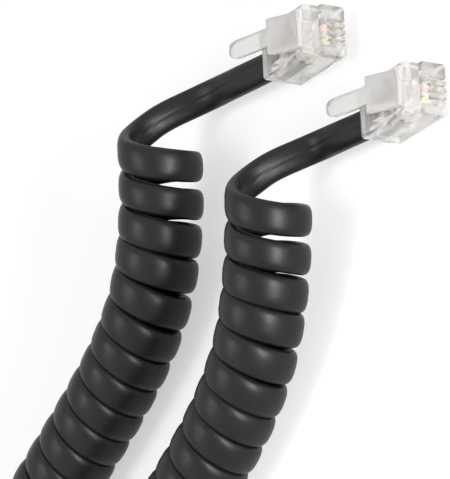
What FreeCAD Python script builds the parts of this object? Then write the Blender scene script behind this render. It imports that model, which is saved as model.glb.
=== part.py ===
"""A coiled telephone handset cord with a clear four-way modular plug on each end.

The cord lies on a table: its middle stretch of coil turns back in a loop, and both ends of the
coil rise a little towards their plugs. Millimetres, +Z up, origin under the middle of the part.
"""
import FreeCAD
import Part
import Sketcher

import bisect
import itertools
import math
import os
import re

Vector = FreeCAD.Vector
UP = Vector(0, 0, 1)

# Driving sizes, one spreadsheet row each: alias, value, what it is
SIZES = [
    ("jacket_width", 4.15, "flat cord, across its broad side"),
    ("jacket_thickness", 2.4, "flat cord, through its thin side"),
    ("coil_diameter", 12.5, "coil, outside"),
    ("turn_gap", 0.43, "least room between neighbouring turns"),
    ("end_pitch_extra", 15.0, "how much steeper the first half turn is at each end"),
    ("end_pitch_reach", 7.5, "length along the coil that has some of that extra pitch"),
    ("end_pitch_fade", 3.0, "last part of that length, over which the extra pitch dies away"),
    ("foot_flat", 0.5, "depth of the flats that the coil lies on"),
    ("lead_angle", 66.0, "angle past its lowest point at which the coil starts, in degrees"),
    ("end_run", 2.0, "straight cord at each end of the coil"),
    ("lead_straight", 4.8, "straight lead between its last bend and the coil"),
    ("plug_length", 12.3, "plug, nose to rear"),
    ("plug_width", 7.65, "plug, across"),
    ("plug_height", 6.6, "plug, contact side to latch side"),
    ("edge_round", 0.5, "radius along the plug's four long edges"),
    ("nose_step", 0.9, "how far the upper nose stands back"),
    ("nose_height", 3.8, "height of the lower nose"),
    ("cord_height", 3.0, "cord's middle over the contact side"),
    ("jacket_depth", 6.2, "how far the jacket goes into the plug"),
    ("jacket_clearance", 0.2, "room round the jacket in its bore"),
    ("mouth_depth", 0.8, "depth of the wider mouth"),
    ("mouth_flare", 0.45, "how much wider the mouth is on each side"),
    ("wire_diameter", 0.95, "insulated conductor"),
    ("wire_pitch", 1.02, "conductor to conductor, and contact to contact"),
    ("wire_start", 0.9, "conductor's end behind the nose"),
    ("wire_clearance", 0.08, "room round the conductors"),
    ("contact_thickness", 0.3, "contact blade"),
    ("contact_clearance", 0.05, "room round a contact in its slot"),
    ("contact_front", 0.45, "contact's front edge behind the nose"),
    ("contact_length", 2.9, "contact blade, along the plug"),
    ("contact_recess", 0.4, "contact's edge inside the contact side"),
    ("tooth_setback", 0.7, "contact tooth's tip from the blade's end"),
    ("tooth_half", 0.35, "half the width of a contact tooth"),
    ("tooth_bite", 0.2, "tooth's tip past the conductor's middle"),
    ("wire_anchor_gap", 0.9, "conductor anchor in front of the jacket's end"),
    ("wire_anchor_length", 1.1, "conductor anchor, along the plug"),
    ("wire_anchor_bite", 0.1, "conductor anchor pressed into the conductors"),
    ("jacket_anchor_setback", 1.5, "jacket anchor behind the jacket's end"),
    ("jacket_anchor_length", 1.9, "jacket anchor, along the plug"),
    ("jacket_anchor_bite", 0.3, "jacket anchor pressed into the jacket"),
    ("anchor_recess", 0.6, "anchors' tops under the latch side"),
    ("anchor_clearance", 0.08, "room round an anchor in its window"),
    ("latch_thickness", 1.05, "latch strip"),
    ("latch_width", 5.5, "latch's broad arm"),
    ("tab_width", 3.1, "latch's narrow tab"),
    ("hinge_from_nose", 1.75, "latch's bending line behind the nose"),
    ("hinge_rise", 0.15, "latch's bending line over the latch side"),
    ("hinge_clearance", 0.06, "room round the latch's root"),
    ("shoulder_from_nose", 5.8, "latch's locking shoulder behind the nose"),
    ("shoulder_rise", 2.6, "shoulder's middle over the latch side"),
    ("tip_from_nose", 12.6, "latch's tip behind the nose"),
    ("tip_rise", 4.7, "tip's middle over the latch side"),
    ("relief_length", 2.5, "hollow under the latch's root, along the plug"),
    ("relief_depth", 0.5, "depth of that hollow"),
    ("relief_side", 0.2, "room on each side of the latch in that hollow"),
]

# Middle line of the coil: x, y and the height over a coil that lies on the table
COIL_ROUTE = [
    (57.1, 15.5, 5.85), (49.2, 14.1, 4.5), (39.7, 13.3, 2.7), (29.7, 14.0, 1.15), (20.7, 17.2, 0.25),
    (12.2, 21.4, 0), (3.7, 26.4, 0), (-4.1, 31.4, 0), (-15.3, 33.2, 0), (-27.3, 33.2, 0),
    (-39.3, 33.1, 0), (-51.3, 32.4, 0), (-61.8, 28.8, 0), (-69.4, 20.3, 0), (-68.9, 9.3, 0),
    (-61.8, 0.3, 0), (-51.3, -3.5, 0), (-40.3, 0, 0), (-29.8, 5.0, 0), (-19.1, 7.2, 0),
    (-9.6, 4.0, 0), (-0.6, -1.4, 0), (7.9, -6.4, 0), (16.4, -10.6, 0.25), (25.4, -13.8, 1.15),
    (35.4, -14.7, 2.65), (44.9, -14.1, 4.25), (52.8, -12.85, 5.5),
]
# Jacket's end in the plug and the lead's first bend: x, y and the height over a plug that lies flat
PLUG_ROUTES = {
    "a": [(69.5, -6.9, 1.15), (66.1, 0.9, -0.15)],
    "b": [(63.5, -32.1, 1.15), (60.1, -24.3, -0.15)],
}
WIRE_COLOURS = ["black", "red", "green", "yellow"]

# Round ends of the flat cord: handle length of a quarter circle drawn as one cubic
QUARTER_HANDLE = 0.5523
AXIS_STEP = 0.1
BEND_WINDOW = 5.0
PATCHES_PER_TURN = 4
LEAST_STRETCH = 0.1
ARC_SHARE = 0.45

doc = FreeCAD.newDocument("HandsetCord")
sheet = doc.addObject("Spreadsheet::Sheet", "Sizes")
for row, (alias, value, note) in enumerate(SIZES, start=1):
    sheet.set("A%d" % row, str(value))
    sheet.setAlias("A%d" % row, alias)
    sheet.set("B%d" % row, note)
doc.recompute()


def size(alias):
    return float(sheet.get(alias))


def label(feature, name):
    feature.Label = name
    return feature


def smooth_step(share):
    share = min(max(share, 0), 1)
    return share * share * (3 - 2 * share)


# Flat cord: sections, patches and solids

def half_outline(side):
    """Poles of half the cord's section, across and through, from one edge over to the other."""
    half_width = size("jacket_width") / 2
    radius = size("jacket_thickness") / 2
    flat = size("jacket_width") - size("jacket_thickness")
    handle = QUARTER_HANDLE * radius
    start = half_width - radius
    first = [(half_width, 0), (half_width, handle), (start + handle, radius), (start - flat / 3, radius)]
    second = [(-across, through) for across, through in reversed(first)]
    return [(across, side * through) for across, through in first + second]


def section(frame, outline):
    centre, normal, across = frame
    return [centre + across * u + normal * v for u, v in outline]


def patch(poles_by_stop):
    """One cubic patch along the cord for each stretch between two stops."""
    radius = size("jacket_thickness") / 2
    flat = size("jacket_width") - size("jacket_thickness")
    middle = flat / (3 * QUARTER_HANDLE * radius)
    knots = [0, 1, 1 + middle, 2 + middle]
    surface = Part.BSplineSurface()
    surface.buildFromPolesMultsKnots(poles_by_stop, [4, 4], [4, 2, 2, 4], [0, 1], knots, False, False, 3, 3)
    return surface.toShape()


def handle_length(frame_at, low, high):
    """Handle of a cubic stretch, in the stops' own unit, that keeps the radius of a round bend."""
    ways = [normal.cross(across) for _, normal, across in (frame_at(low), frame_at(high))]
    turn = ways[0].getAngle(ways[1])
    ease = 4 * math.tan(turn / 4) / turn if turn > 1e-6 else 1
    return (high - low) / 3 * ease


def flat_tube(frame_at, stops):
    """Solid of the flat cord along a moving frame, a pair of patches for each stretch."""
    nudge = 1e-3
    faces = []
    rims = {}
    for side in (1, -1):
        outline = half_outline(side)
        rows = []
        for stop in stops:
            here = section(frame_at(stop), outline)
            after = section(frame_at(stop + nudge), outline)
            before = section(frame_at(stop - nudge), outline)
            rows.append((here, [(b - a) * (0.5 / nudge) for a, b in zip(before, after)]))
        for index in range(len(stops) - 1):
            start, leave = rows[index]
            end, arrive = rows[index + 1]
            handle = handle_length(frame_at, stops[index], stops[index + 1])
            second = [pole + slope * handle for pole, slope in zip(start, leave)]
            last = [pole - slope * handle for pole, slope in zip(end, arrive)]
            faces.append(patch([start, second, last, end]))
        rims[side] = (rows[0][0], rows[-1][0])
    for end in (0, 1):
        edges = []
        for side in (1, -1):
            edges.append(rim_edge(rims[side][end]))
        faces.append(Part.Face(Part.Wire(edges)))
    shell = Part.makeShell(faces)
    shell.sewShape()
    solid = Part.Solid(shell.Shells[0])
    if solid.Volume < 0:
        solid.reverse()
    return solid


def rim_edge(poles):
    radius = size("jacket_thickness") / 2
    flat = size("jacket_width") - size("jacket_thickness")
    middle = flat / (3 * QUARTER_HANDLE * radius)
    curve = Part.BSplineCurve()
    curve.buildFromPolesMultsKnots(poles, [4, 2, 2, 4], [0, 1, 1 + middle, 2 + middle], False, 3)
    return curve.toShape()


# Coil: a left-handed helix about its middle line

class Coil:
    """Frames of the cord along its coil, counted in turns, with a straight run at each end."""

    nudge = 0.002

    def __init__(self):
        self.radius = (size("coil_diameter") - size("jacket_thickness")) / 2
        seat = size("coil_diameter") / 2 - size("foot_flat")
        self.axis = Part.BSplineCurve()
        self.axis.buildFromPoles([Vector(x, y, seat + lift) for x, y, lift in COIL_ROUTE], False, 2)
        places = self.axis.discretize(Number=int(self.axis.length() / AXIS_STEP))
        self.parameters = [self.axis.parameter(place) for place in places]
        self.count_turns()
        self.first = size("lead_angle") / 360
        self.last = self.count - self.first
        advance = self.spoke(self.first + self.nudge)[0] - self.spoke(self.first)[0]
        self.speed = advance.Length / self.nudge
        self.end_turns = size("end_run") / self.speed

    def count_turns(self):
        """Turns done at each place, from a pitch that widens in bends and at both ends."""
        length = self.axis.length()
        last = len(self.parameters) - 1
        step = length / last
        window = int(BEND_WINDOW / step)
        reach = size("end_pitch_reach")
        tangents = [self.axis.tangent(parameter)[0] for parameter in self.parameters]
        rates = []
        for index in range(last + 1):
            low, high = max(0, index - window), min(last, index + window)
            bend = tangents[low].getAngle(tangents[high]) / ((high - low) * step)
            pitch = (size("jacket_width") + size("turn_gap")) / (1 - size("coil_diameter") / 2 * bend)
            for from_end in (index * step, length - index * step):
                pitch += size("end_pitch_extra") * smooth_step((reach - from_end) / size("end_pitch_fade"))
            rates.append(1 / pitch)
        turns = [0.0]
        for before, after in zip(rates, rates[1:]):
            turns.append(turns[-1] + step * (before + after) / 2)
        self.count = int(turns[-1])
        self.turns = [turn * self.count / turns[-1] for turn in turns]

    def spoke(self, turn):
        """Middle of the cord at this turn, and the way out from the coil's middle line."""
        above = min(max(bisect.bisect_right(self.turns, turn), 1), len(self.turns) - 1)
        share = (turn - self.turns[above - 1]) / (self.turns[above] - self.turns[above - 1])
        parameter = self.parameters[above - 1] * (1 - share) + self.parameters[above] * share
        along = self.axis.tangent(parameter)[0]
        left = UP.cross(along).normalize()
        over = along.cross(left)
        angle = 2 * math.pi * turn
        out = over * -math.cos(angle) - left * math.sin(angle)
        return self.axis.value(parameter) + out * self.radius, out

    def frame_at(self, turn):
        """Middle, outward normal and broad direction of the cord, straight beyond the coil's ends."""
        nearest = min(max(turn, self.first), self.last)
        centre, out = self.spoke(nearest)
        before = self.spoke(max(self.first, nearest - self.nudge))[0]
        after = self.spoke(min(self.last, nearest + self.nudge))[0]
        travel = (after - before).normalize()
        normal = (out - travel * out.dot(travel)).normalize()
        return centre + travel * (self.speed * (turn - nearest)), normal, travel.cross(normal)

    def stops(self):
        """Patch ends, kept away from the lowest point of each turn, where the flats are cut."""
        evenly = [(index + 0.5) / PATCHES_PER_TURN for index in range(self.count * PATCHES_PER_TURN)]
        inner = [turn for turn in evenly if self.first + LEAST_STRETCH < turn < self.last - LEAST_STRETCH]
        return [self.first - self.end_turns, self.first] + inner + [self.last, self.last + self.end_turns]

    def spread(self, samples):
        """Turns from one end of the winding to the other, with this many samples in each turn."""
        steps = int((self.last - self.first) * samples)
        return [self.first + (self.last - self.first) * index / steps for index in range(steps + 1)]

    def end(self, which):
        """Where a lead meets the coil, the way into the coil there and the cord's normal."""
        turn = self.first - self.end_turns if which == "a" else self.last + self.end_turns
        centre, normal, across = self.frame_at(turn)
        into = normal.cross(across)
        return centre, (into if which == "a" else into * -1), normal

    def least_gap(self):
        """Least distance between points on the edges of different turns."""
        radius = size("jacket_thickness") / 2
        start = size("jacket_width") / 2 - radius
        rim = []
        for index in range(-4, 5):
            angle = math.radians(20 * index)
            for edge in (1, -1):
                rim.append((edge * (start + radius * math.cos(angle)), radius * math.sin(angle)))
        cells = {}
        least = 1.0
        for turn in self.spread(36):
            for point in section(self.frame_at(turn), rim):
                home = [math.floor(value) for value in point]
                for shift in itertools.product((-1, 0, 1), repeat=3):
                    for other, place in cells.get(tuple(map(sum, zip(home, shift))), ()):
                        if turn - other > 0.5:
                            least = min(least, point.distanceToPoint(place))
                cells.setdefault(tuple(home), []).append((turn, point))
        return least

    def length(self):
        middles = [self.frame_at(turn)[0] for turn in self.spread(48)]
        wound = sum(a.distanceToPoint(b) for a, b in zip(middles, middles[1:]))
        return wound + 2 * size("end_run")


# Leads: straight runs joined by tangent arcs, from the plug to the coil

class Lead:
    """Frames of the cord between a plug and the coil, by length from the jacket's end in the plug."""

    def __init__(self, which, coil):
        end, into, normal = coil.end(which)
        first, bend = [Vector(x, y, size("cord_height") + rise) for x, y, rise in PLUG_ROUTES[which]]
        corner = end - into * size("lead_straight")
        self.into_plug = (first - bend).normalize()
        self.end_frame = (normal * -1, into)
        self.points = [first, bend, corner, end]
        self.pieces = []
        self.radii = []
        self.trace()

    def trace(self):
        """Straight runs and arcs as (length, point at a length along the piece, way at that length)."""
        runs = [b - a for a, b in zip(self.points, self.points[1:])]
        here = self.points[0]
        for before, after, point in zip(runs, runs[1:], self.points[1:]):
            turn = before.getAngle(after)
            setback = ARC_SHARE * min(before.Length, after.Length)
            radius = setback / math.tan(turn / 2)
            self.radii.append(round(radius, 1))
            way = Vector(before).normalize()
            arc_start = point - way * setback
            self.pieces.append(("run", (arc_start - here).Length, here, way, None, None))
            inward = (Vector(after).normalize() - way * math.cos(turn)).normalize()
            self.pieces.append(("arc", radius * turn, arc_start, way, inward, radius))
            here = point + Vector(after).normalize() * setback
        way = Vector(runs[-1]).normalize()
        self.pieces.append(("run", (self.points[-1] - here).Length, here, way, None, None))
        self.length = sum(piece[1] for piece in self.pieces)

    def place(self, along):
        for kind, length, start, way, inward, radius in self.pieces:
            if along <= length or (kind, start) == (self.pieces[-1][0], self.pieces[-1][2]):
                break
            along -= length
        if kind == "run":
            return start + way * along, way
        angle = along / radius
        point = start + way * (radius * math.sin(angle)) + inward * (radius * (1 - math.cos(angle)))
        return point, way * math.cos(angle) + inward * math.sin(angle)

    def frame_at(self, along):
        """The cord's broad side turns slowly from level in the plug to the coil's own tilt."""
        centre, travel = self.place(along)
        level = self.into_plug.cross(UP).normalize()
        plug_normal = level.cross(self.into_plug)
        share = smooth_step(along / self.length)
        normal = plug_normal * (1 - share) + self.end_frame[0] * share
        normal = (normal - travel * normal.dot(travel)).normalize()
        return centre, normal, travel.cross(normal)

    def stops(self):
        stops = [0.0]
        for piece in self.pieces:
            stops.append(stops[-1] + piece[1])
        return stops


def flat_section_area():
    radius = size("jacket_thickness") / 2
    return math.pi * radius ** 2 + (size("jacket_width") - 2 * radius) * size("jacket_thickness")


def report_volume(name, solid, length):
    print(name, "length", round(length, 1), "volume", round(solid.Volume, 1),
          "section times length", round(length * flat_section_area(), 1))


def make_cord(coil, leads):
    tube = flat_tube(coil.frame_at, coil.stops())
    report_volume("coil", tube, coil.length())
    box = tube.BoundBox
    deep = size("coil_diameter")
    table = Part.makeBox(box.XLength, box.YLength, deep, Vector(box.XMin, box.YMin, -deep))
    feature = label(doc.addObject("Part::Feature", "coil"), "coil")
    feature.Shape = tube.cut(table).Solids[0]
    nodes = [feature]
    for which, lead in leads.items():
        tube = flat_tube(lead.frame_at, lead.stops())
        report_volume("lead_" + which, tube, lead.length)
        feature = label(doc.addObject("Part::Feature", "lead_" + which), "lead_" + which)
        feature.Shape = tube
        nodes.append(feature)
        print("lead_" + which, "radii", lead.radii)
    print("coil turns", coil.count, "least gap", round(coil.least_gap(), 3))
    return nodes


# Plug pieces, each in the plug's own frame: x back from the nose, y across, z up from the contacts

def plug_placement(lead):
    back = lead.into_plug * -1
    across = UP.cross(back).normalize()
    over = back.cross(across)
    nose = lead.points[0] - back * (size("plug_length") - size("jacket_depth")) - over * size("cord_height")
    return FreeCAD.Placement(nose, FreeCAD.Rotation(back, across, over, "XYZ"))


def bind(feature, **expressions):
    for name, expression in expressions.items():
        feature.setExpression(name.replace("__", "."), expression)


def sizes(expression):
    """Puts the sheet's name before each alias in an expression."""
    return re.sub(r"[a-z]+(?:_[a-z]+)+", lambda alias: "Sizes." + alias.group(), expression)


def block(name, low, extent):
    feature = doc.addObject("Part::Box", name)
    for prop, expression in zip(("Length", "Width", "Height"), extent):
        feature.setExpression(prop, sizes(expression))
    for axis, expression in zip("xyz", low):
        feature.setExpression("Placement.Base." + axis, sizes(expression))
    return feature


def centred(name, x_low, x_extent, y_extent, z_low, z_extent):
    return block(name, (x_low, "-(%s) / 2" % y_extent, z_low), (x_extent, y_extent, z_extent))


def wire_offset(index):
    return "(%g) * wire_pitch" % (index - (len(WIRE_COLOURS) - 1) / 2)


WIRES_ACROSS = "(%d * wire_pitch + wire_diameter + 2 * wire_clearance)" % (len(WIRE_COLOURS) - 1)
JACKET_START = "(plug_length - jacket_depth)"
WIRE_ANCHOR_START = "(plug_length - jacket_depth - wire_anchor_gap - wire_anchor_length)"
JACKET_ANCHOR_START = "(plug_length - jacket_depth + jacket_anchor_setback)"
HINGE_HEIGHT = "(plug_height + hinge_rise)"
BORE_WIDTH = "(jacket_width + 2 * jacket_clearance)"
BORE_HEIGHT = "(jacket_thickness + 2 * jacket_clearance)"


def housing_cuts(end):
    """Everything that is taken out of the plug's clear housing."""
    cuts = [
        centred("nose_cut_" + end, "0", "nose_step", "plug_width", "nose_height", "plug_height"),
        centred("bore_" + end, JACKET_START, "jacket_depth + mouth_depth", BORE_WIDTH,
                "cord_height - %s / 2" % BORE_HEIGHT, BORE_HEIGHT),
        centred("mouth_" + end, "plug_length - mouth_depth", "2 * mouth_depth",
                "(%s + 2 * mouth_flare)" % BORE_WIDTH,
                "cord_height - %s / 2 - mouth_flare" % BORE_HEIGHT, BORE_HEIGHT + " + 2 * mouth_flare"),
        centred("wire_chamber_" + end, "wire_start - wire_clearance",
                JACKET_START + " + jacket_clearance - wire_start + wire_clearance", WIRES_ACROSS,
                "cord_height - wire_diameter / 2 - wire_clearance", "wire_diameter + 2 * wire_clearance"),
        centred("wire_anchor_slot_" + end, WIRE_ANCHOR_START + " - anchor_clearance",
                "wire_anchor_length + 2 * anchor_clearance", WIRES_ACROSS, "cord_height", "plug_height"),
        centred("jacket_anchor_window_" + end, JACKET_ANCHOR_START + " - anchor_clearance",
                "jacket_anchor_length + 2 * anchor_clearance", BORE_WIDTH, "cord_height", "plug_height"),
        centred("latch_relief_" + end, "hinge_from_nose", "relief_length",
                "(latch_width + 2 * relief_side)", "plug_height - relief_depth", "plug_height"),
    ]
    seat = doc.addObject("Part::Cylinder", "hinge_seat_" + end)
    bind(seat, Radius=sizes("latch_thickness / 2 + hinge_clearance"),
         Height=sizes("latch_width + 2 * relief_side"),
         Placement__Base__x=sizes("hinge_from_nose"), Placement__Base__z=sizes(HINGE_HEIGHT),
         Placement__Base__y=sizes("latch_width / 2 + relief_side"))
    seat.Placement.Rotation = FreeCAD.Rotation(Vector(1, 0, 0), 90)
    cuts.append(seat)
    for index in range(len(WIRE_COLOURS)):
        slot = block("contact_slot_%d_%s" % (index + 1, end),
                     ("0", wire_offset(index) + " - contact_thickness / 2 - contact_clearance", "0"),
                     ("contact_front + contact_length + contact_clearance",
                      "contact_thickness + 2 * contact_clearance", "cord_height"))
        cuts.append(slot)
    return cuts


def make_housing(end):
    outer = centred("housing_block_" + end, "0", "plug_length", "plug_width", "0", "plug_height")
    doc.recompute()
    rounded = doc.addObject("Part::Fillet", "housing_rounded_" + end)
    rounded.Base = outer
    radius = size("edge_round")
    long_edges = [index for index, edge in enumerate(outer.Shape.Edges, start=1)
                  if abs(edge.tangentAt(edge.FirstParameter).x) > 0.99]
    rounded.Edges = [(index, radius, radius) for index in long_edges]
    root = centred("latch_root_" + end, "nose_step", "hinge_from_nose - nose_step", "latch_width",
                   "cord_height", "plug_height - cord_height + hinge_rise + latch_thickness / 2")
    body = doc.addObject("Part::MultiFuse", "housing_body_" + end)
    hollow = doc.addObject("Part::MultiFuse", "housing_hollow_" + end)
    cuts = housing_cuts(end)
    nosed = doc.addObject("Part::Cut", "housing_nosed_" + end)
    nosed.Base = rounded
    nosed.Tool = cuts[0]
    body.Shapes = [nosed, root]
    hollow.Shapes = cuts[1:]
    housing = doc.addObject("Part::Cut", "housing_" + end)
    housing.Base = body
    housing.Tool = hollow
    return label(housing, "plug_housing_" + end)


def origin_plane(body, role):
    return next(plane for plane in body.Origin.OriginFeatures if plane.Role == role)


def sketch_on(body, name, role):
    sketch = body.newObject("Sketcher::SketchObject", name)
    sketch.AttachmentSupport = [(origin_plane(body, role), "")]
    sketch.MapMode = "FlatFace"
    return sketch


def polygon(body, name, corners):
    """A side view in the plug's x and z, each corner bound to two expressions."""
    sketch = sketch_on(body, name, "XZ_Plane")
    bound = [(sizes(x), sizes(z)) for x, z in corners]
    places = [Vector(sheet.evalExpression(x), sheet.evalExpression(z), 0) for x, z in bound]
    for index, place in enumerate(places):
        sketch.addGeometry(Part.LineSegment(place, places[(index + 1) % len(places)]), False)
    for index in range(len(places)):
        following = (index + 1) % len(places)
        sketch.addConstraint(Sketcher.Constraint("Coincident", index, 2, following, 1))
    for index, (place, (x, z)) in enumerate(zip(places, bound)):
        for kind, value, expression in (("DistanceX", place.x, x), ("DistanceY", place.y, z)):
            number = sketch.addConstraint(Sketcher.Constraint(kind, -1, 1, index, 1, value))
            sketch.setExpression("Constraints[%d]" % number, expression)
    return sketch


def circle(body, name, role, diameter, offset):
    """A round outline, moved from the plane's origin by bound offsets."""
    sketch = sketch_on(body, name, role)
    reach = sheet.evalExpression(sizes(diameter)) / 2
    sketch.addGeometry(Part.Circle(Vector(), Vector(0, 0, 1), reach), False)
    sketch.addConstraint(Sketcher.Constraint("Coincident", 0, 3, -1, 1))
    number = sketch.addConstraint(Sketcher.Constraint("Diameter", 0, 2 * reach))
    sketch.setExpression("Constraints[%d]" % number, sizes(diameter))
    for axis, expression in zip("xyz", offset):
        sketch.setExpression("AttachmentOffset.Base." + axis, sizes(expression))
    return sketch


def pad(body, sketch, length, side="Symmetric"):
    feature = body.newObject("PartDesign::Pad", sketch.Name + "_pad")
    feature.Profile = sketch
    feature.SideType = side
    feature.setExpression("Length", sizes(length))
    return feature


def new_body(name):
    return label(doc.addObject("PartDesign::Body", "body_" + name), name)


def make_latch(end):
    """Springy strip that rises from the nose to a locking shoulder and ends in a finger tab."""
    body = new_body("plug_latch_" + end)
    half = "latch_thickness / 2"
    hinge = ("hinge_from_nose", HINGE_HEIGHT)
    shoulder = ("shoulder_from_nose", "(plug_height + shoulder_rise)")
    tip = ("tip_from_nose", "(plug_height + tip_rise)")
    knuckle = circle(body, "latch_knuckle_" + end, "XZ_Plane", "latch_thickness", hinge + ("0",))
    pad(body, knuckle, "latch_width")
    stretches = [("arm", "latch_width", hinge, shoulder), ("tab", "tab_width", shoulder, tip)]
    for name, width, start, stop in stretches:
        corners = [(start[0], "%s - %s" % (start[1], half)), (stop[0], "%s - %s" % (stop[1], half)),
                   (stop[0], "%s + %s" % (stop[1], half)), (start[0], "%s + %s" % (start[1], half))]
        pad(body, polygon(body, "latch_%s_%s" % (name, end), corners), width)
    return body


def make_contact(end, index):
    """Gold blade whose two teeth bite through a conductor's insulation."""
    body = new_body("contact_%d_%s" % (index + 1, end))
    front = "contact_front"
    back = "(contact_front + contact_length)"
    base = "cord_height - wire_diameter / 2 - wire_clearance"
    top = "cord_height + tooth_bite"
    corners = [(front, "contact_recess"), (back, "contact_recess"), (back, base)]
    for middle in (back + " - tooth_setback", front + " + tooth_setback"):
        corners += [(middle + " + tooth_half", base), (middle, top), (middle + " - tooth_half", base)]
    corners.append((front, base))
    sketch = polygon(body, "contact_side_%d_%s" % (index + 1, end), corners)
    sketch.setExpression("AttachmentOffset.Base.z", sizes("-" + wire_offset(index)))
    pad(body, sketch, "contact_thickness")
    return body


def make_conductor(end, index):
    body = new_body("conductor_%s_%s" % (WIRE_COLOURS[index], end))
    sketch = circle(body, "wire_round_%d_%s" % (index + 1, end), "YZ_Plane", "wire_diameter",
                    (wire_offset(index), "cord_height", "wire_start"))
    pad(body, sketch, JACKET_START + " - wire_start", "One side")
    return body


def make_anchor(end, name, start, length, bottom, width):
    """Block that is pressed down through its window onto the cord."""
    body = new_body("%s_anchor_%s" % (name, end))
    top = "plug_height - anchor_recess"
    stop = "%s + %s" % (start, length)
    corners = [(start, bottom), (stop, bottom), (stop, top), (start, top)]
    pad(body, polygon(body, "%s_anchor_side_%s" % (name, end), corners), width)
    return body


def make_plug(end, lead):
    placement = plug_placement(lead)
    pieces = [
        make_housing(end),
        make_latch(end),
        make_anchor(end, "jacket", JACKET_ANCHOR_START, "jacket_anchor_length",
                    "cord_height + jacket_thickness / 2 - jacket_anchor_bite",
                    BORE_WIDTH + " - 2 * anchor_clearance"),
        make_anchor(end, "conductor", WIRE_ANCHOR_START, "wire_anchor_length",
                    "cord_height + wire_diameter / 2 - wire_anchor_bite",
                    WIRES_ACROSS + " - 2 * anchor_clearance"),
    ]
    for index in range(len(WIRE_COLOURS)):
        pieces.append(make_contact(end, index))
        pieces.append(make_conductor(end, index))
    for piece in pieces:
        piece.Placement = placement
    return pieces


# The whole part

coil = Coil()
leads = {end: Lead(end, coil) for end in PLUG_ROUTES}
nodes = make_cord(coil, leads)
for end, lead in leads.items():
    nodes += make_plug(end, lead)
doc.recompute()

for feature in doc.Objects:
    if "Invalid" in feature.State or "Error" in feature.State:
        raise RuntimeError("%s failed: %s" % (feature.Label, feature.State))
for node in nodes:
    if node.Shape.isNull() or not node.Shape.isValid() or len(node.Shape.Solids) != 1:
        raise RuntimeError("%s has no sound solid" % node.Label)

os.makedirs("parts", exist_ok=True)
for node in nodes:
    node.Shape.exportStep("parts/%s.step" % node.Label)
print(len(nodes), "nodes written")
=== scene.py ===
"""A coiled handset cord with a clear modular plug on each end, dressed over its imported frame."""
import math

import bpy
import numpy as np
from mathutils import Matrix, Vector


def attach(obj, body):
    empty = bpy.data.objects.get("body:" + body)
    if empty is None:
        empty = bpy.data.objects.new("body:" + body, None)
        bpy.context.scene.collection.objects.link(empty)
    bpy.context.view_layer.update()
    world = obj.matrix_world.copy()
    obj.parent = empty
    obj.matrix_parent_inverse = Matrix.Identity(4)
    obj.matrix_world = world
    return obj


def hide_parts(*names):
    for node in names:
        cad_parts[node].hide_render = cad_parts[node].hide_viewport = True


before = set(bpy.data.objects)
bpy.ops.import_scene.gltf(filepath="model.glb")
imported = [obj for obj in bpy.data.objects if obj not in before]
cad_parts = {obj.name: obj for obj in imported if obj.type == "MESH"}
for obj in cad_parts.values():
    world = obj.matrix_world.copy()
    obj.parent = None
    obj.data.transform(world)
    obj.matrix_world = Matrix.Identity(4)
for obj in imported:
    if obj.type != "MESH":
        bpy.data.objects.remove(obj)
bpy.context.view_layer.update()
MM = 0.001

# Camera: looks down on the plugs with the coil's length standing upright in the picture
IMAGE_HEIGHT = 479
PIXELS_PER_METRE = 6830
LOOK_POINT = Vector((0.0397, 0.0082, 0.0))
CAMERA_DISTANCE = 0.7
CAMERA_ELEVATION = math.radians(36.6)
CAMERA_ROLL = math.radians(78.4)
SENSOR_HEIGHT = 36.0

# Directions: up, and the coil's front, which faces the viewer
UP = np.array((0.0, 0.0, 1.0))
FRONT = np.array((0.0, -0.8, 0.6))

# Flat cord's section, in millimetres: a full oval with a fine groove along its inner face
CORD_WIDTH = 4.42
CORD_THICKNESS = 2.4
OVAL_POWER = 2.7
OUTLINE_STEPS = 24
GROOVE = [(-0.20, 0.0), (-0.07, 0.05), (0.07, 0.05), (0.20, 0.0)]
# Width of the cord at a distance along the coil from either end
COIL_WIDTHS = [
    (3.5, 4.42), (7.0, 4.70), (8.2, 4.80), (9.6, 4.50), (11.0, 4.42),
    (14.0, 4.42), (17.5, 4.85), (20.0, 4.95), (32.0, 4.95), (42.0, 4.65),
]

# Coil, in millimetres
COIL_DIAMETER = 12.5
TURN_PITCH = 4.50
# Depth by which a turn is flattened where it lies on the table
FOOT_FLAT = 0.5
# Degrees round the first and last turn at which the leads join
LEAD_ANGLE = 66.0
# Bend of the axis, per millimetre, that the turns take without spreading
EASY_BEND = 0.014
# Reach to each side over which that bend is measured
BEND_WINDOW = 5.0
# Wider pitch at the very ends, where the cord leaves its turns
END_PITCH_EXTRA = 15.0
END_PITCH_REACH = 7.5
END_PITCH_FADE = 3.0
# Slightly looser turns along the coil's first and last stretch
LOOSE_PITCH_EXTRA = 0.80
LOOSE_PITCH_REACH = 22.0
LOOSE_PITCH_FADE = 10.0
# Lean of the turns near the plugs, as a share of their radius: the front lies deeper in the coil
TURN_LEAN = 0.20
LEAN_REACH = 22.0
LEAN_FADE = 20.0
# Shift of those turns' far side towards the plug
BACK_SHIFT = 0.9
BACK_FROM = 4.0
BACK_RISE = 5.0
BACK_REACH = 32.0
BACK_FADE = 10.0

# Leads, in millimetres: straight in the plug, then round a corner that lies ahead of the coil's end
STRAIGHT_IN_PLUG = 4.0
END_RUN = 2.0
LEAD_STRAIGHT = 7.0
CORNER_SHIFT = (-1.8, 0.0, -0.3)
# Points of a lead's bend, as shares of the ways from its corner to the plug's side and to the coil's side
LEAD_BEND = [(0.57, 0.15), (0.29, 0.04), (0.13, 0.28)]

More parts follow.
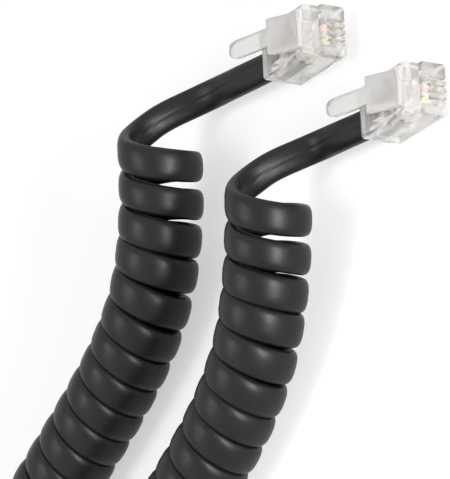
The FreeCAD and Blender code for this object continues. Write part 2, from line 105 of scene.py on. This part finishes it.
# Plugs, in millimetres: the cord's height over a plug's underside, the jacket's length inside and the latch
CORD_HEIGHT = 3.0
JACKET_DEPTH = 6.2
PLUG_LENGTH = 12.3
SHOULDER_FROM_NOSE = 5.8
TAB_HALF_WIDTH = 1.55
TAB_NARROWING = 0.2
TAB_LENGTHENING = 0.4
TAB_ROUND = 1.15
TAB_ROUND_STEPS = 7
HOUSING_EDGE = 0.16
LATCH_EDGE = 0.18
EDGE_STEPS = 2
# Tolerance for finding the tab's points, and the share of an edge's length that makes it upright
NEAR = 0.1
UPRIGHT_SHARE = 0.9

# Mesh: point counts, spacings in millimetres, the merging distance in metres, and limits of angles
SPLINE_STEPS = 24
AXIS_STEP = 0.1
RINGS_PER_TURN = 44
LEAD_RING_STEP = 0.4
MERGE_DISTANCE = 1e-6
FLAT_ANGLE = math.radians(1)
SHARP_ANGLE = math.radians(40)
SMOOTH_ANGLE = math.radians(35)

# Middle line of the coil, in millimetres: x, y and the height over a coil that lies on the table
COIL_ROUTE = [
    (57.1, 15.5, 5.85), (49.2, 13.7, 4.5), (39.7, 12.7, 2.7), (29.7, 13.5, 1.15), (20.7, 16.9, 0.25),
    (12.2, 21.4, 0), (3.7, 26.4, 0), (-4.1, 31.4, 0), (-15.3, 33.2, 0), (-27.3, 33.2, 0),
    (-39.3, 33.1, 0), (-51.3, 32.4, 0), (-61.8, 28.8, 0), (-69.4, 20.3, 0), (-68.9, 9.3, 0),
    (-61.8, 0.3, 0), (-51.3, -3.5, 0), (-40.3, 0, 0), (-29.8, 5.0, 0), (-19.1, 7.2, 0),
    (-9.6, 4.0, 0), (-0.6, -1.4, 0), (7.9, -6.4, 0), (16.4, -10.6, 0.25), (25.4, -13.8, 1.15),
    (35.4, -14.7, 2.65), (44.9, -14.1, 4.25), (52.8, -12.85, 5.5),
]
# Jacket's end in the plug and the lead's first bend: x, y and the height over a plug that lies flat
PLUG_ROUTES = {
    "a": [(69.5, -6.9, 1.15), (66.1, 0.9, -0.15)],
    "b": [(63.5, -32.1, 1.15), (60.1, -24.3, -0.15)],
}

# Colours, as the two shades between which a finish varies
JACKET_SHADES = [(0.0060, 0.0060, 0.0062), (0.0085, 0.0084, 0.0082)]
GOLD_SHADES = [(0.84, 0.76, 0.56), (0.74, 0.66, 0.48)]
# Wires in their order across a plug
WIRE_SHADES = {
    "black": [(0.03, 0.03, 0.03), (0.02, 0.02, 0.02)],
    "red": [(0.74, 0.46, 0.39), (0.65, 0.39, 0.33)],
    "green": [(0.48, 0.55, 0.44), (0.40, 0.47, 0.37)],
    "yellow": [(0.82, 0.71, 0.34), (0.74, 0.61, 0.26)],
}
# Clear plastic and the latches' milkier kind: tint, share that light passes through, and refraction
CLEAR_TINT = (0.94, 0.924, 0.906)
CLEAR_SHARE = 0.80
MILKY_TINT = (0.74, 0.73, 0.715)
MILKY_SHARE = 0.68
CLEAR_IOR = 1.33
# Strength of the jacket's reflections
JACKET_SHEEN = 0.22
# Noise textures: their roughness and the range in which most of their values lie
NOISE_ROUGHNESS = 0.5
NOISE_LOW = 0.3
NOISE_HIGH = 0.7
# Shift of the jacket's line pattern per millimetre of cord, small so that the lines run lengthwise
LINE_STRETCH = 0.002

# Table and surroundings
TABLE_SIZE = 6.0
TABLE_TONE = 0.52
TABLE_ROUGHNESS = 0.9
TABLE_SHEEN = 0.1
TABLE_GLOW = 0.55
SKY_FILL = 0.32
SKY_SEEN = 1.0
# Lamps: name, place, point they face, width and depth in metres, and power in watts
LAMPS = [
    ("plug_end_lamp", (0.62, 0.05, 0.50), (0.03, 0.0, 0.0), 0.70, 0.70, 0.7),
    ("loop_end_lamp", (-0.56, 0.05, 0.50), (0.03, 0.0, 0.0), 0.70, 0.70, 0.7),
    ("top_lamp", (-0.08, 0.13, 0.70), (0.03, 0.0, 0.0), 0.32, 0.32, 2.0),
    ("low_lamp", (0.10, -0.60, 0.14), (0.05, 0.0, 0.0), 0.42, 0.17, 6.0),
]


# Small helpers

def unit(vectors):
    return vectors / np.linalg.norm(vectors, axis=-1, keepdims=True)


def smooth_step(share):
    """A share between 0 and 1 that starts and ends softly."""
    share = np.clip(share, 0, 1)
    return share * share * (3 - 2 * share)


def distances(points):
    """Distance along a line at each of its points."""
    return np.concatenate(([0], np.cumsum(np.linalg.norm(np.diff(points, axis=0), axis=1))))


def interpolate(stations, known, points):
    """Points at new stations, between the points at the known ones."""
    return np.stack([np.interp(stations, known, points[:, axis]) for axis in range(3)], axis=1)


def deselect_everything():
    bpy.ops.object.select_all(action="DESELECT")


def make_active(piece):
    deselect_everything()
    piece.select_set(True)
    bpy.context.view_layer.objects.active = piece


def apply_modifiers(piece):
    make_active(piece)
    for modifier in list(piece.modifiers):
        bpy.ops.object.modifier_apply(modifier=modifier.name)


# Finishes

def new_finish(name):
    """A material with its nodes, its links, its surface shader and an Object coordinate socket."""
    finish = bpy.data.materials.new(name)
    finish.use_nodes = True
    nodes = finish.node_tree.nodes
    shader = nodes["Principled BSDF"]
    place = nodes.new("ShaderNodeTexCoord").outputs["Object"]
    return finish, nodes, finish.node_tree.links, shader, place


def noise(nodes, links, place, scale, detail=3.0):
    texture = nodes.new("ShaderNodeTexNoise")
    texture.inputs["Scale"].default_value = scale
    texture.inputs["Detail"].default_value = detail
    texture.inputs["Roughness"].default_value = NOISE_ROUGHNESS
    links.new(place, texture.inputs["Vector"])
    return texture.outputs["Fac"]


def spread(nodes, links, value, low, high):
    """A noise value whose usual range is stretched from low to high."""
    span = nodes.new("ShaderNodeMapRange")
    span.inputs["From Min"].default_value = NOISE_LOW
    span.inputs["From Max"].default_value = NOISE_HIGH
    span.inputs["To Min"].default_value = low
    span.inputs["To Max"].default_value = high
    links.new(value, span.inputs["Value"])
    return span.outputs["Result"]


def blend_colours(nodes, links, value, first, second):
    mix = nodes.new("ShaderNodeMix")
    mix.data_type = "RGBA"
    mix.inputs["A"].default_value = (*first, 1)
    mix.inputs["B"].default_value = (*second, 1)
    links.new(value, mix.inputs["Factor"])
    return mix.outputs["Result"]


def add_bump(nodes, links, shader, height, strength, distance):
    bump = nodes.new("ShaderNodeBump")
    bump.inputs["Strength"].default_value = strength
    bump.inputs["Distance"].default_value = distance
    links.new(height, bump.inputs["Height"])
    links.new(bump.outputs["Normal"], shader.inputs["Normal"])


def jacket_finish():
    """Charcoal vinyl: satin, with faint lengthwise drawing lines and a fine mottle."""
    finish, nodes, links, shader, place = new_finish("charcoal_vinyl")
    along = nodes.new("ShaderNodeUVMap")
    along.uv_map = "cord_lines"
    lines = noise(nodes, links, along.outputs["UV"], scale=60.0, detail=2.0)
    mottle = noise(nodes, links, place, scale=900.0)
    cloud = noise(nodes, links, place, scale=60.0, detail=2.0)
    shade = spread(nodes, links, cloud, low=0, high=1)
    links.new(blend_colours(nodes, links, shade, *JACKET_SHADES), shader.inputs["Base Color"])
    links.new(spread(nodes, links, mottle, low=0.36, high=0.44), shader.inputs["Roughness"])
    add_bump(nodes, links, shader, lines, strength=0.10, distance=0.00004)
    shader.inputs["Specular IOR Level"].default_value = JACKET_SHEEN
    return finish


def clear_finish(name, tint, clearness):
    """Clear moulded plastic, a little wavy, with a faint warm cast."""
    finish, nodes, links, shader, place = new_finish(name)
    ripple = noise(nodes, links, place, scale=420.0, detail=1.0)
    haze = noise(nodes, links, place, scale=700.0, detail=2.0)
    links.new(spread(nodes, links, haze, low=0.05, high=0.11), shader.inputs["Roughness"])
    add_bump(nodes, links, shader, ripple, strength=0.12, distance=0.0001)
    shader.inputs["Base Color"].default_value = (*tint, 1)
    shader.inputs["Transmission Weight"].default_value = clearness
    shader.inputs["IOR"].default_value = CLEAR_IOR
    return finish


def gold_finish():
    """Gold plating whose shine and shade vary with wear."""
    finish, nodes, links, shader, place = new_finish("plated_gold")
    wear = noise(nodes, links, place, scale=1500.0)
    links.new(spread(nodes, links, wear, low=0.18, high=0.34), shader.inputs["Roughness"])
    links.new(blend_colours(nodes, links, wear, *GOLD_SHADES), shader.inputs["Base Color"])
    shader.inputs["Metallic"].default_value = 1.0
    return finish


def wire_finish(name, pale, deep):
    """Thin coloured insulation on one conductor."""
    finish, nodes, links, shader, place = new_finish("insulation_" + name)
    shade = noise(nodes, links, place, scale=800.0)
    links.new(blend_colours(nodes, links, shade, pale, deep), shader.inputs["Base Color"])
    links.new(spread(nodes, links, shade, low=0.3, high=0.45), shader.inputs["Roughness"])
    return finish


# Cord: its middle line, its normals and its flat tube

def spline_points(name, control_points):
    """Points along a smooth spline over the control points."""
    curve = bpy.data.curves.new(name, "CURVE")
    curve.dimensions = "3D"
    curve.resolution_u = SPLINE_STEPS
    spline = curve.splines.new("NURBS")
    spline.points.add(len(control_points) - 1)
    for point, place in zip(spline.points, control_points):
        point.co = (*place, 1.0)
    spline.order_u = 3
    spline.use_endpoint_u = True
    guide = bpy.data.objects.new(name, curve)
    bpy.context.scene.collection.objects.link(guide)
    bpy.context.view_layer.update()
    line = bpy.data.meshes.new_from_object(guide)
    points = np.array([vertex.co for vertex in line.vertices], float)
    bpy.data.objects.remove(guide)
    bpy.data.curves.remove(curve)
    bpy.data.meshes.remove(line)
    return points


def evenly(points, step):
    """The same line with points at an even spacing close to step."""
    lengths = distances(points)
    count = max(2, int(round(lengths[-1] / step)) + 1)
    return interpolate(np.linspace(0, lengths[-1], count), lengths, points)


def axis_bend(tangents, step):
    """Bend of the coil's axis per millimetre, at each of its points."""
    last = len(tangents) - 1
    window = int(BEND_WINDOW / step)
    index = np.arange(last + 1)
    low = np.maximum(0, index - window)
    high = np.minimum(last, index + window)
    cosines = np.clip(np.sum(tangents[low] * tangents[high], axis=1), -1, 1)
    return np.arccos(cosines) / ((high - low) * step)


def turn_pitch(bend, along):
    """Pitch of the turns, wider in a tight bend and towards the coil's ends."""
    pitch = TURN_PITCH / (1 - COIL_DIAMETER / 2 * np.maximum(0, bend - EASY_BEND))
    for from_end in (along, along[-1] - along):
        pitch += END_PITCH_EXTRA * smooth_step((END_PITCH_REACH - from_end) / END_PITCH_FADE)
        pitch += LOOSE_PITCH_EXTRA * smooth_step((LOOSE_PITCH_REACH - from_end) / LOOSE_PITCH_FADE)
    return pitch


def turn_shift(facing, from_end, radius):
    """How far points of the turns near the plugs move into the coil, by how much they face the front."""
    lean = TURN_LEAN * radius * smooth_step((LEAN_REACH - from_end) / LEAN_FADE) * facing
    back = BACK_SHIFT * smooth_step((from_end - BACK_FROM) / BACK_RISE)
    back *= smooth_step((BACK_REACH - from_end) / BACK_FADE) * ((1 - facing) / 2) ** 2
    return lean - back


def coil_line():
    """Middle of the cord, its outward normal and its width, all round the coil."""
    seat = COIL_DIAMETER / 2 - FOOT_FLAT
    route = [(x, y, seat + lift) for x, y, lift in COIL_ROUTE]
    axis = evenly(spline_points("coil_axis", route), AXIS_STEP)
    step = np.linalg.norm(np.diff(axis, axis=0), axis=1).mean()
    tangents = unit(np.gradient(axis, axis=0))
    along = np.arange(len(axis)) * step
    rates = 1 / turn_pitch(axis_bend(tangents, step), along)
    turns = np.concatenate(([0], np.cumsum(step * (rates[:-1] + rates[1:]) / 2)))
    count = int(turns[-1])
    turns *= count / turns[-1]
    first = LEAD_ANGLE / 360
    wanted = np.linspace(first, count - first, count * RINGS_PER_TURN + 1)
    middle = interpolate(wanted, turns, axis)
    way = unit(interpolate(wanted, turns, tangents))
    left = unit(np.cross(UP, way))
    over = np.cross(way, left)
    angle = 2 * np.pi * wanted[:, None]
    out = -np.cos(angle) * over - np.sin(angle) * left
    from_start = np.interp(wanted, turns, along)
    from_end = np.minimum(from_start, along[-1] - from_start)
    inward = np.where(from_start < along[-1] / 2, 1, -1)
    radius = (COIL_DIAMETER - CORD_THICKNESS) / 2
    shift = inward * turn_shift(out @ FRONT, from_end, radius)
    line = middle + out * radius + way * shift[:, None]
    places, widths = zip(*COIL_WIDTHS)
    return line, out, np.interp(from_end, places, widths)


def plug_points(end):
    """Jacket's end in a plug and the first bend of its lead."""
    return [np.array((x, y, CORD_HEIGHT + rise)) for x, y, rise in PLUG_ROUTES[end]]


def lead_line(end, coil_end, into_coil, coil_out):
    """Middle of a lead from its plug to the coil, and its outward normal."""
    first, bend = plug_points(end)
    start = coil_end - into_coil * END_RUN
    corner = start - into_coil * LEAD_STRAIGHT + np.array(CORNER_SHIFT)
    out_of_plug = unit(bend - first)
    mouth = first + out_of_plug * STRAIGHT_IN_PLUG
    turn = [corner + (bend - corner) * plug_share + (start - corner) * coil_share
            for plug_share, coil_share in LEAD_BEND]
    control_points = [first, mouth, bend, *turn, start, coil_end]
    points = evenly(spline_points("lead_" + end, control_points), LEAD_RING_STEP)
    level = unit(np.cross(-out_of_plug, UP))
    plug_normal = np.cross(level, -out_of_plug)
    share = smooth_step(np.linspace(0, 1, len(points)))[:, None]
    return points, -plug_normal * (1 - share) + coil_out * share


def cord_outline():
    """Flat oval section, across and through, with a fine groove along its inner face."""
    half_width = CORD_WIDTH / 2
    half_through = CORD_THICKNESS / 2
    fullness = 2 / OVAL_POWER
    outline = []
    for index in range(OUTLINE_STEPS):
        angle = 2 * math.pi * (index + 0.5) / OUTLINE_STEPS
        cosine, sine = math.cos(angle), math.sin(angle)
        outline.append((half_width * math.copysign(abs(cosine) ** fullness, cosine),
                        half_through * math.copysign(abs(sine) ** fullness, sine)))
    lowest = 3 * OUTLINE_STEPS // 4
    outline[lowest:lowest] = [(across, -half_through + rise) for across, rise in GROOVE]
    return outline


def cord_rings(line, out, breadth):
    """The section's outline at each point of the line, kept above the table."""
    way = unit(np.gradient(line, axis=0))
    out = unit(out - way * np.sum(out * way, axis=1, keepdims=True))
    across = np.cross(way, out) * breadth
    outline = np.array(cord_outline())
    rings = line[:, None] + across[:, None] * outline[None, :, :1] + out[:, None] * outline[None, :, 1:]
    rings[:, :, 2] = np.maximum(rings[:, :, 2], 0.0)
    return rings


def tube_faces(ring_count, width):
    """Faces between neighbouring rings, and a cap on each end."""
    faces = []
    for ring in range(ring_count - 1):
        here, following = ring * width, (ring + 1) * width
        for k in range(width):
            after = (k + 1) % width
            faces.append((here + k, here + after, following + after, following + k))
    faces.append(tuple(range(width - 1, -1, -1)))
    faces.append(tuple((ring_count - 1) * width + k for k in range(width)))
    return faces


def make_cord():
    """The whole cord from plug to plug, with its middle line and its length in metres."""
    coil, coil_out, coil_width = coil_line()
    start_way = unit(coil[1] - coil[0])
    end_way = unit(coil[-2] - coil[-1])
    lead_a, out_a = lead_line("a", coil[0], start_way, coil_out[0])
    lead_b, out_b = lead_line("b", coil[-1], end_way, coil_out[-1])
    line = np.concatenate((lead_a[:-1], coil, lead_b[-2::-1]))
    out = np.concatenate((out_a[:-1], coil_out, out_b[-2::-1]))
    lead_rings = (len(lead_a) - 1, len(lead_b) - 1)
    breadth = np.pad(coil_width / CORD_WIDTH, lead_rings, constant_values=1)[:, None]
    rings = cord_rings(line, out, breadth)
    ring_count, width = rings.shape[:2]
    mesh = bpy.data.meshes.new("coiled_cord")
    mesh.from_pydata((rings.reshape(-1, 3) * MM).tolist(), [], tube_faces(ring_count, width))
    lengths = distances(line)
    lines = mesh.uv_layers.new(name="cord_lines")
    for polygon in mesh.polygons:
        for loop in polygon.loop_indices:
            ring, k = divmod(mesh.loops[loop].vertex_index, width)
            lines.data[loop].uv = (lengths[ring] * LINE_STRETCH, abs(2 * k / width - 1))
    cord = bpy.data.objects.new("coiled_cord", mesh)
    bpy.context.scene.collection.objects.link(cord)
    make_active(cord)
    bpy.ops.object.mode_set(mode="EDIT")
    bpy.ops.mesh.select_all(action="SELECT")
    bpy.ops.mesh.normals_make_consistent(inside=False)
    bpy.ops.object.mode_set(mode="OBJECT")
    bpy.ops.object.shade_smooth()
    return cord, line * MM, lengths[-1] * MM


# Plugs

def plug_frame(end):
    """Nose, way back, way across and way up of a plug."""
    first, bend = plug_points(end)
    back = unit(bend - first)
    across = unit(np.cross(UP, back))
    over = np.cross(back, across)
    return first - back * (PLUG_LENGTH - JACKET_DEPTH) - over * CORD_HEIGHT, back, across, over


def round_tab(latch, end):
    """Narrows the latch's finger tab, draws it out a little and rounds the corners of its end."""
    nose, back, across, over = plug_frame(end)
    mesh = latch.data
    places = np.array([vertex.co for vertex in mesh.vertices]) / MM - nose
    behind_shoulder = places @ back > SHOULDER_FROM_NOSE - NEAR
    tab = behind_shoulder & (np.abs(places @ across) < TAB_HALF_WIDTH + NEAR)
    tip = (places @ back > PLUG_LENGTH) & tab
    for index in np.flatnonzero(tab):
        inward = -np.sign(places[index] @ across) * TAB_NARROWING
        outward = TAB_LENGTHENING if tip[index] else 0.0
        mesh.vertices[index].co += Vector((across * inward + back * outward) * MM)
    make_active(latch)
    bpy.ops.object.mode_set(mode="EDIT")
    bpy.ops.mesh.select_mode(type="EDGE")
    bpy.ops.mesh.select_all(action="DESELECT")
    bpy.ops.object.mode_set(mode="OBJECT")
    for edge in mesh.edges:
        start, stop = edge.vertices
        upright = abs(unit(places[stop] - places[start]) @ over) > UPRIGHT_SHARE
        edge.select = bool(tip[start] and tip[stop] and upright)
    bpy.ops.object.mode_set(mode="EDIT")
    bpy.ops.mesh.bevel(offset=TAB_ROUND * MM, segments=TAB_ROUND_STEPS, affect="EDGES")
    bpy.ops.object.mode_set(mode="OBJECT")


def merged_copy(node, name):
    """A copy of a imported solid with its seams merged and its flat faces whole."""
    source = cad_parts[node]
    piece = bpy.data.objects.new(name, source.data.copy())
    bpy.context.scene.collection.objects.link(piece)
    make_active(piece)
    bpy.ops.object.mode_set(mode="EDIT")
    bpy.ops.mesh.select_all(action="SELECT")
    bpy.ops.mesh.remove_doubles(threshold=MERGE_DISTANCE)
    bpy.ops.mesh.dissolve_limited(angle_limit=FLAT_ANGLE)
    bpy.ops.object.mode_set(mode="OBJECT")
    return piece


def soften_edges(piece, radius):
    """Rounds a piece's sharp edges and smooths its shading over the slight ones."""
    bevel = piece.modifiers.new("soft_edges", "BEVEL")
    bevel.width = radius
    bevel.segments = EDGE_STEPS
    bevel.limit_method = "ANGLE"
    bevel.angle_limit = SHARP_ANGLE
    bevel.use_clamp_overlap = True
    apply_modifiers(piece)
    bpy.ops.object.shade_smooth_by_angle(angle=SMOOTH_ANGLE)


def paint(piece, finish):
    piece.data.materials.clear()
    piece.data.materials.append(finish)


def dress_plug(end, clear, milky, gold, wires):
    """Clear housing and latch, clear anchors, gold contacts and coloured conductors of one plug."""
    housing = merged_copy("plug_housing_" + end, "clear_housing_" + end)
    soften_edges(housing, HOUSING_EDGE * MM)
    paint(housing, clear)
    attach(housing, "cord")
    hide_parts("plug_housing_" + end)
    latch = merged_copy("plug_latch_" + end, "spring_latch_" + end)
    round_tab(latch, end)
    soften_edges(latch, LATCH_EDGE * MM)
    paint(latch, milky)
    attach(latch, "latch_" + end)
    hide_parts("plug_latch_" + end)
    pieces = [housing, latch]
    for name in ("jacket_anchor_", "conductor_anchor_"):
        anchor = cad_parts[name + end]
        paint(anchor, clear)
        pieces.append(anchor)
    for index, colour in enumerate(wires):
        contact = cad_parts["contact_%d_%s" % (index + 1, end)]
        paint(contact, gold)
        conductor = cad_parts["conductor_%s_%s" % (colour, end)]
        paint(conductor, wires[colour])
        pieces += [contact, conductor]
    return pieces


clear = clear_finish("clear_moulded_plastic", CLEAR_TINT, CLEAR_SHARE)
milky = clear_finish("milky_moulded_plastic", MILKY_TINT, MILKY_SHARE)
gold = gold_finish()
wires = {colour: wire_finish(colour, *shades) for colour, shades in WIRE_SHADES.items()}
dress_plug("a", clear, milky, gold, wires)
far_plug = dress_plug("b", clear, milky, gold, wires)

cord, cord_line, cord_length = make_cord()
cord.data.materials.append(jacket_finish())
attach(cord, "cord")
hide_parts("coil", "lead_a", "lead_b")


# Floor, light and camera

def larger(nodes, links, first, second):
    """The larger of two values."""
    choice = nodes.new("ShaderNodeMath")
    choice.operation = "MAXIMUM"
    links.new(first, choice.inputs[0])
    links.new(second, choice.inputs[1])
    return choice.outputs["Value"]


def seen_directly(nodes, links):
    """One where a surface is seen straight, through the clear plastic or in a reflection."""
    rays = nodes.new("ShaderNodeLightPath").outputs
    straight = larger(nodes, links, rays["Is Camera Ray"], rays["Is Transmission Ray"])
    return larger(nodes, links, straight, rays["Is Glossy Ray"])


def make_floor():
    """Pale table top that looks white and keeps the shadows."""
    deselect_everything()
    bpy.ops.mesh.primitive_plane_add(size=TABLE_SIZE, location=(0, 0, 0))
    floor = bpy.context.object
    floor.name = "table_top"
    finish, nodes, links, shader, _ = new_finish("white_table")
    shader.inputs["Base Color"].default_value = (TABLE_TONE, TABLE_TONE, TABLE_TONE, 1)
    shader.inputs["Roughness"].default_value = TABLE_ROUGHNESS
    shader.inputs["Specular IOR Level"].default_value = TABLE_SHEEN
    glow = nodes.new("ShaderNodeMath")
    glow.operation = "MULTIPLY"
    glow.inputs[1].default_value = TABLE_GLOW
    links.new(seen_directly(nodes, links), glow.inputs[0])
    shader.inputs["Emission Color"].default_value = (1, 1, 1, 1)
    links.new(glow.outputs["Value"], shader.inputs["Emission Strength"])
    floor.data.materials.append(finish)


def make_lamp(name, place, target, width, depth, power):
    """Rectangular lamp that faces its target."""
    lamp = bpy.data.lights.new(name, "AREA")
    lamp.shape = "RECTANGLE"
    lamp.size = width
    lamp.size_y = depth
    lamp.energy = power
    holder = bpy.data.objects.new(name, lamp)
    bpy.context.scene.collection.objects.link(holder)
    holder.location = place
    holder.rotation_euler = (Vector(target) - Vector(place)).to_track_quat("-Z", "Y").to_euler()


def make_sky():
    """White surroundings, full where they are seen and weaker as fill light."""
    world = bpy.data.worlds.new("studio")
    world.use_nodes = True
    nodes = world.node_tree.nodes
    links = world.node_tree.links
    background = nodes["Background"]
    background.inputs["Color"].default_value = (1, 1, 1, 1)
    strength = nodes.new("ShaderNodeMapRange")
    strength.inputs["To Min"].default_value = SKY_FILL
    strength.inputs["To Max"].default_value = SKY_SEEN
    links.new(seen_directly(nodes, links), strength.inputs["Value"])
    links.new(strength.outputs["Result"], background.inputs["Strength"])
    bpy.context.scene.world = world


def make_camera():
    """Camera that looks down at its look point, rolled until the coil stands upright."""
    camera = bpy.data.cameras.new("viewpoint")
    camera.sensor_fit = "VERTICAL"
    camera.sensor_height = SENSOR_HEIGHT
    camera.lens = PIXELS_PER_METRE * CAMERA_DISTANCE * SENSOR_HEIGHT / IMAGE_HEIGHT
    holder = bpy.data.objects.new("viewpoint", camera)
    bpy.context.scene.collection.objects.link(holder)
    toward = Vector((0, -math.cos(CAMERA_ELEVATION), math.sin(CAMERA_ELEVATION)))
    level = Vector((1, 0, 0))
    upright = toward.cross(level)
    right = level * math.cos(CAMERA_ROLL) - upright * math.sin(CAMERA_ROLL)
    above = level * math.sin(CAMERA_ROLL) + upright * math.cos(CAMERA_ROLL)
    turn = Matrix((right, above, toward)).transposed()
    holder.matrix_world = Matrix.Translation(LOOK_POINT + toward * CAMERA_DISTANCE) @ turn.to_4x4()
    bpy.context.scene.camera = holder


make_floor()
make_sky()
for lamp in LAMPS:
    make_lamp(*lamp)
make_camera()
bpy.context.scene.view_settings.view_transform = "Standard"
